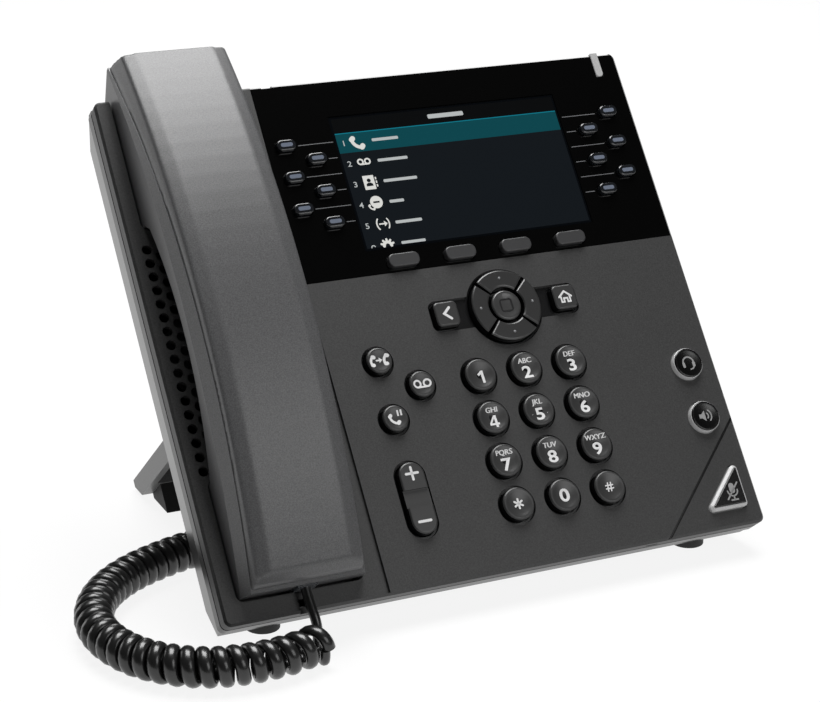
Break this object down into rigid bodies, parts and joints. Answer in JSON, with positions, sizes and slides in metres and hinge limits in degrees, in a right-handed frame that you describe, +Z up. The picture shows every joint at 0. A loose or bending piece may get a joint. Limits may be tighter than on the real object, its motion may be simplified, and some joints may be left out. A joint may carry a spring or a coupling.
{
  "type": "desk IP phone",
  "caption": "Wedge-shaped desk telephone with a cradled corded handset, a sloping screen flanked by line keys, a dial pad, a navigation ring and a clip-in rear stand.",
  "frame": {"origin": "centre of the footprint of the phone without its cord, on the desk", "axes": "+X to the phone's right as its user sees it, +Y away from the user, +Z up; the face slopes back at 50 degrees from the desk"},
  "size_m": [0.263, 0.1769, 0.185],
  "materials": {
    "housing_plastic": "fine spark-eroded texture",
    "panel_plastic": "satin",
    "lcd_glass": "clear-coated screen",
    "light_lens": "translucent",
    "foot_rubber": "matt",
    "circuit_board": "solder mask",
    "loudspeaker_steel": "black",
    "cord_jacket": "glossy",
    "plug_plastic": "clear",
    "handset_plastic": "satin",
    "lit_key": "with a translucent skirt",
    "line_key": "translucent",
    "select_key": "satin silver",
    "key_plastic": "satin"
  },
  "bodies": {
    "base": {"front_housing": "housing_plastic", "rear_housing": "housing_plastic", "display_panel": "panel_plastic", "lcd_module": "lcd_glass", "message_light": "light_lens", "main_board": "circuit_board", "loudspeaker": "loudspeaker_steel", "front_feet": "foot_rubber", "cord_plug_base": "plug_plastic", "handset_cord_lead": "cord_jacket", "handset_cord_coil": "cord_jacket", "handset_cord_tail": "cord_jacket"},
    "handset": {"handset_outer_shell": "handset_plastic", "handset_inner_shell": "handset_plastic", "cord_plug_handset": "plug_plastic"},
    "hook_switch": {"hook_switch": "key_plastic"},
    "stand": {"stand": "housing_plastic", "stand_feet": "foot_rubber"},
    "volume_rocker": {"volume_rocker": "key_plastic"},
    "dial_key_1": {"dial_key_1": "key_plastic"},
    "dial_key_2": {"dial_key_2": "key_plastic"},
    "dial_key_3": {"dial_key_3": "key_plastic"},
    "dial_key_4": {"dial_key_4": "key_plastic"},
    "dial_key_5": {"dial_key_5": "key_plastic"},
    "dial_key_6": {"dial_key_6": "key_plastic"},
    "dial_key_7": {"dial_key_7": "key_plastic"},
    "dial_key_8": {"dial_key_8": "key_plastic"},
    "dial_key_9": {"dial_key_9": "key_plastic"},
    "dial_key_star": {"dial_key_star": "key_plastic"},
    "dial_key_0": {"dial_key_0": "key_plastic"},
    "dial_key_hash": {"dial_key_hash": "key_plastic"},
    "transfer_key": {"transfer_key": "key_plastic"},
    "messages_key": {"messages_key": "key_plastic"},
    "hold_key": {"hold_key": "key_plastic"},
    "headset_key": {"headset_key": "lit_key"},
    "speaker_key": {"speaker_key": "lit_key"},
    "select_key": {"select_key": "select_key"},
    "back_key": {"back_key": "key_plastic"},
    "home_key": {"home_key": "key_plastic"},
    "mute_key": {"mute_key": "lit_key"},
    "nav_right_key": {"nav_right_key": "key_plastic"},
    "nav_up_key": {"nav_up_key": "key_plastic"},
    "nav_left_key": {"nav_left_key": "key_plastic"},
    "nav_down_key": {"nav_down_key": "key_plastic"},
    "soft_key_1": {"soft_key_1": "key_plastic"},
    "soft_key_2": {"soft_key_2": "key_plastic"},
    "soft_key_3": {"soft_key_3": "key_plastic"},
    "soft_key_4": {"soft_key_4": "key_plastic"},
    "line_key_left_1": {"line_key_left_1": "line_key"},
    "line_key_left_2": {"line_key_left_2": "line_key"},
    "line_key_left_3": {"line_key_left_3": "line_key"},
    "line_key_left_4": {"line_key_left_4": "line_key"},
    "line_key_left_5": {"line_key_left_5": "line_key"},
    "line_key_left_6": {"line_key_left_6": "line_key"},
    "line_key_right_1": {"line_key_right_1": "line_key"},
    "line_key_right_2": {"line_key_right_2": "line_key"},
    "line_key_right_3": {"line_key_right_3": "line_key"},
    "line_key_right_4": {"line_key_right_4": "line_key"},
    "line_key_right_5": {"line_key_right_5": "line_key"},
    "line_key_right_6": {"line_key_right_6": "line_key"}
  },
  "joints": [
    {"name": "handset_lift", "type": "slide", "parent": "base", "child": "handset", "axis": [0, -0.766, 0.6428], "range_m": [0, 0.06]},
    {"name": "hook_plunger", "type": "slide", "parent": "base", "child": "hook_switch", "axis": [0, -0.766, 0.6428], "range_m": [0, 0.003]},
    {"name": "stand_release", "type": "slide", "parent": "base", "child": "stand", "axis": [0, 0.766, -0.6428], "range_m": [0, 0.02]},
    {"name": "volume_rock", "type": "hinge", "parent": "base", "child": "volume_rocker", "pos_m": [-0.0282, -0.0514, 0.03595], "axis": [1, 0, 0], "range_deg": [-3, 3], "stiffness_Nm_per_rad": 0.4},
    {"name": "dial_key_1_press", "type": "slide", "parent": "base", "child": "dial_key_1", "axis": [0, 0.766, -0.6428], "range_m": [0, 0.0012], "stiffness_N_per_m": 400, "springref_m": -0.0004},
    {"name": "dial_key_2_press", "type": "slide", "parent": "base", "child": "dial_key_2", "axis": [0, 0.766, -0.6428], "range_m": [0, 0.0012], "stiffness_N_per_m": 400, "springref_m": -0.0004},
    {"name": "dial_key_3_press", "type": "slide", "parent": "base", "child": "dial_key_3", "axis": [0, 0.766, -0.6428], "range_m": [0, 0.0012], "stiffness_N_per_m": 400, "springref_m": -0.0004},
    {"name": "dial_key_4_press", "type": "slide", "parent": "base", "child": "dial_key_4", "axis": [0, 0.766, -0.6428], "range_m": [0, 0.0012], "stiffness_N_per_m": 400, "springref_m": -0.0004},
    {"name": "dial_key_5_press", "type": "slide", "parent": "base", "child": "dial_key_5", "axis": [0, 0.766, -0.6428], "range_m": [0, 0.0012], "stiffness_N_per_m": 400, "springref_m": -0.0004},
    {"name": "dial_key_6_press", "type": "slide", "parent": "base", "child": "dial_key_6", "axis": [0, 0.766, -0.6428], "range_m": [0, 0.0012], "stiffness_N_per_m": 400, "springref_m": -0.0004},
    {"name": "dial_key_7_press", "type": "slide", "parent": "base", "child": "dial_key_7", "axis": [0, 0.766, -0.6428], "range_m": [0, 0.0012], "stiffness_N_per_m": 400, "springref_m": -0.0004},
    {"name": "dial_key_8_press", "type": "slide", "parent": "base", "child": "dial_key_8", "axis": [0, 0.766, -0.6428], "range_m": [0, 0.0012], "stiffness_N_per_m": 400, "springref_m": -0.0004},
    {"name": "dial_key_9_press", "type": "slide", "parent": "base", "child": "dial_key_9", "axis": [0, 0.766, -0.6428], "range_m": [0, 0.0012], "stiffness_N_per_m": 400, "springref_m": -0.0004},
    {"name": "dial_key_star_press", "type": "slide", "parent": "base", "child": "dial_key_star", "axis": [0, 0.766, -0.6428], "range_m": [0, 0.0012], "stiffness_N_per_m": 400, "springref_m": -0.0004},
    {"name": "dial_key_0_press", "type": "slide", "parent": "base", "child": "dial_key_0", "axis": [0, 0.766, -0.6428], "range_m": [0, 0.0012], "stiffness_N_per_m": 400, "springref_m": -0.0004},
    {"name": "dial_key_hash_press", "type": "slide", "parent": "base", "child": "dial_key_hash", "axis": [0, 0.766, -0.6428], "range_m": [0, 0.0012], "stiffness_N_per_m": 400, "springref_m": -0.0004},
    {"name": "transfer_key_press", "type": "slide", "parent": "base", "child": "transfer_key", "axis": [0, 0.766, -0.6428], "range_m": [0, 0.0012], "stiffness_N_per_m": 400, "springref_m": -0.0004},
    {"name": "messages_key_press", "type": "slide", "parent": "base", "child": "messages_key", "axis": [0, 0.766, -0.6428], "range_m": [0, 0.0012], "stiffness_N_per_m": 400, "springref_m": -0.0004},
    {"name": "hold_key_press", "type": "slide", "parent": "base", "child": "hold_key", "axis": [0, 0.766, -0.6428], "range_m": [0, 0.0012], "stiffness_N_per_m": 400, "springref_m": -0.0004},
    {"name": "headset_key_press", "type": "slide", "parent": "base", "child": "headset_key", "axis": [0, 0.766, -0.6428], "range_m": [0, 0.0012], "stiffness_N_per_m": 400, "springref_m": -0.0004},
    {"name": "speaker_key_press", "type": "slide", "parent": "base", "child": "speaker_key", "axis": [0, 0.766, -0.6428], "range_m": [0, 0.0012], "stiffness_N_per_m": 400, "springref_m": -0.0004},
    {"name": "select_key_press", "type": "slide", "parent": "base", "child": "select_key", "axis": [0, 0.766, -0.6428], "range_m": [0, 0.0012], "stiffness_N_per_m": 400, "springref_m": -0.0004},
    {"name": "back_key_press", "type": "slide", "parent": "base", "child": "back_key", "axis": [0, 0.766, -0.6428], "range_m": [0, 0.0012], "stiffness_N_per_m": 400, "springref_m": -0.0004},
    {"name": "home_key_press", "type": "slide", "parent": "base", "child": "home_key", "axis": [0, 0.766, -0.6428], "range_m": [0, 0.0012], "stiffness_N_per_m": 400, "springref_m": -0.0004},
    {"name": "mute_key_press", "type": "slide", "parent": "base", "child": "mute_key", "axis": [0, 0.766, -0.6428], "range_m": [0, 0.0012], "stiffness_N_per_m": 400, "springref_m": -0.0004},
    {"name": "nav_right_key_press", "type": "slide", "parent": "base", "child": "nav_right_key", "axis": [0, 0.766, -0.6428], "range_m": [0, 0.0012], "stiffness_N_per_m": 400, "springref_m": -0.0004},
    {"name": "nav_up_key_press", "type": "slide", "parent": "base", "child": "nav_up_key", "axis": [0, 0.766, -0.6428], "range_m": [0, 0.0012], "stiffness_N_per_m": 400, "springref_m": -0.0004},
    {"name": "nav_left_key_press", "type": "slide", "parent": "base", "child": "nav_left_key", "axis": [0, 0.766, -0.6428], "range_m": [0, 0.0012], "stiffness_N_per_m": 400, "springref_m": -0.0004},
    {"name": "nav_down_key_press", "type": "slide", "parent": "base", "child": "nav_down_key", "axis": [0, 0.766, -0.6428], "range_m": [0, 0.0012], "stiffness_N_per_m": 400, "springref_m": -0.0004},
    {"name": "soft_key_1_press", "type": "slide", "parent": "base", "child": "soft_key_1", "axis": [0, 0.766, -0.6428], "range_m": [0, 0.0009], "stiffness_N_per_m": 400, "springref_m": -0.0004},
    {"name": "soft_key_2_press", "type": "slide", "parent": "base", "child": "soft_key_2", "axis": [0, 0.766, -0.6428], "range_m": [0, 0.0009], "stiffness_N_per_m": 400, "springref_m": -0.0004},
    {"name": "soft_key_3_press", "type": "slide", "parent": "base", "child": "soft_key_3", "axis": [0, 0.766, -0.6428], "range_m": [0, 0.0009], "stiffness_N_per_m": 400, "springref_m": -0.0004},
    {"name": "soft_key_4_press", "type": "slide", "parent": "base", "child": "soft_key_4", "axis": [0, 0.766, -0.6428], "range_m": [0, 0.0009], "stiffness_N_per_m": 400, "springref_m": -0.0004},
    {"name": "line_key_left_1_press", "type": "slide", "parent": "base", "child": "line_key_left_1", "axis": [0, 0.766, -0.6428], "range_m": [0, 0.0009], "stiffness_N_per_m": 400, "springref_m": -0.0004},
    {"name": "line_key_left_2_press", "type": "slide", "parent": "base", "child": "line_key_left_2", "axis": [0, 0.766, -0.6428], "range_m": [0, 0.0009], "stiffness_N_per_m": 400, "springref_m": -0.0004},
    {"name": "line_key_left_3_press", "type": "slide", "parent": "base", "child": "line_key_left_3", "axis": [0, 0.766, -0.6428], "range_m": [0, 0.0009], "stiffness_N_per_m": 400, "springref_m": -0.0004},
    {"name": "line_key_left_4_press", "type": "slide", "parent": "base", "child": "line_key_left_4", "axis": [0, 0.766, -0.6428], "range_m": [0, 0.0009], "stiffness_N_per_m": 400, "springref_m": -0.0004},
    {"name": "line_key_left_5_press", "type": "slide", "parent": "base", "child": "line_key_left_5", "axis": [0, 0.766, -0.6428], "range_m": [0, 0.0009], "stiffness_N_per_m": 400, "springref_m": -0.0004},
    {"name": "line_key_left_6_press", "type": "slide", "parent": "base", "child": "line_key_left_6", "axis": [0, 0.766, -0.6428], "range_m": [0, 0.0009], "stiffness_N_per_m": 400, "springref_m": -0.0004},
    {"name": "line_key_right_1_press", "type": "slide", "parent": "base", "child": "line_key_right_1", "axis": [0, 0.766, -0.6428], "range_m": [0, 0.0009], "stiffness_N_per_m": 400, "springref_m": -0.0004},
    {"name": "line_key_right_2_press", "type": "slide", "parent": "base", "child": "line_key_right_2", "axis": [0, 0.766, -0.6428], "range_m": [0, 0.0009], "stiffness_N_per_m": 400, "springref_m": -0.0004},
    {"name": "line_key_right_3_press", "type": "slide", "parent": "base", "child": "line_key_right_3", "axis": [0, 0.766, -0.6428], "range_m": [0, 0.0009], "stiffness_N_per_m": 400, "springref_m": -0.0004},
    {"name": "line_key_right_4_press", "type": "slide", "parent": "base", "child": "line_key_right_4", "axis": [0, 0.766, -0.6428], "range_m": [0, 0.0009], "stiffness_N_per_m": 400, "springref_m": -0.0004},
    {"name": "line_key_right_5_press", "type": "slide", "parent": "base", "child": "line_key_right_5", "axis": [0, 0.766, -0.6428], "range_m": [0, 0.0009], "stiffness_N_per_m": 400, "springref_m": -0.0004},
    {"name": "line_key_right_6_press", "type": "slide", "parent": "base", "child": "line_key_right_6", "axis": [0, 0.766, -0.6428], "range_m": [0, 0.0009], "stiffness_N_per_m": 400, "springref_m": -0.0004}
  ],
  "couplings": [
    {"joint": "hook_plunger", "follows": "handset_lift", "ratio": 0.05}
  ]
}
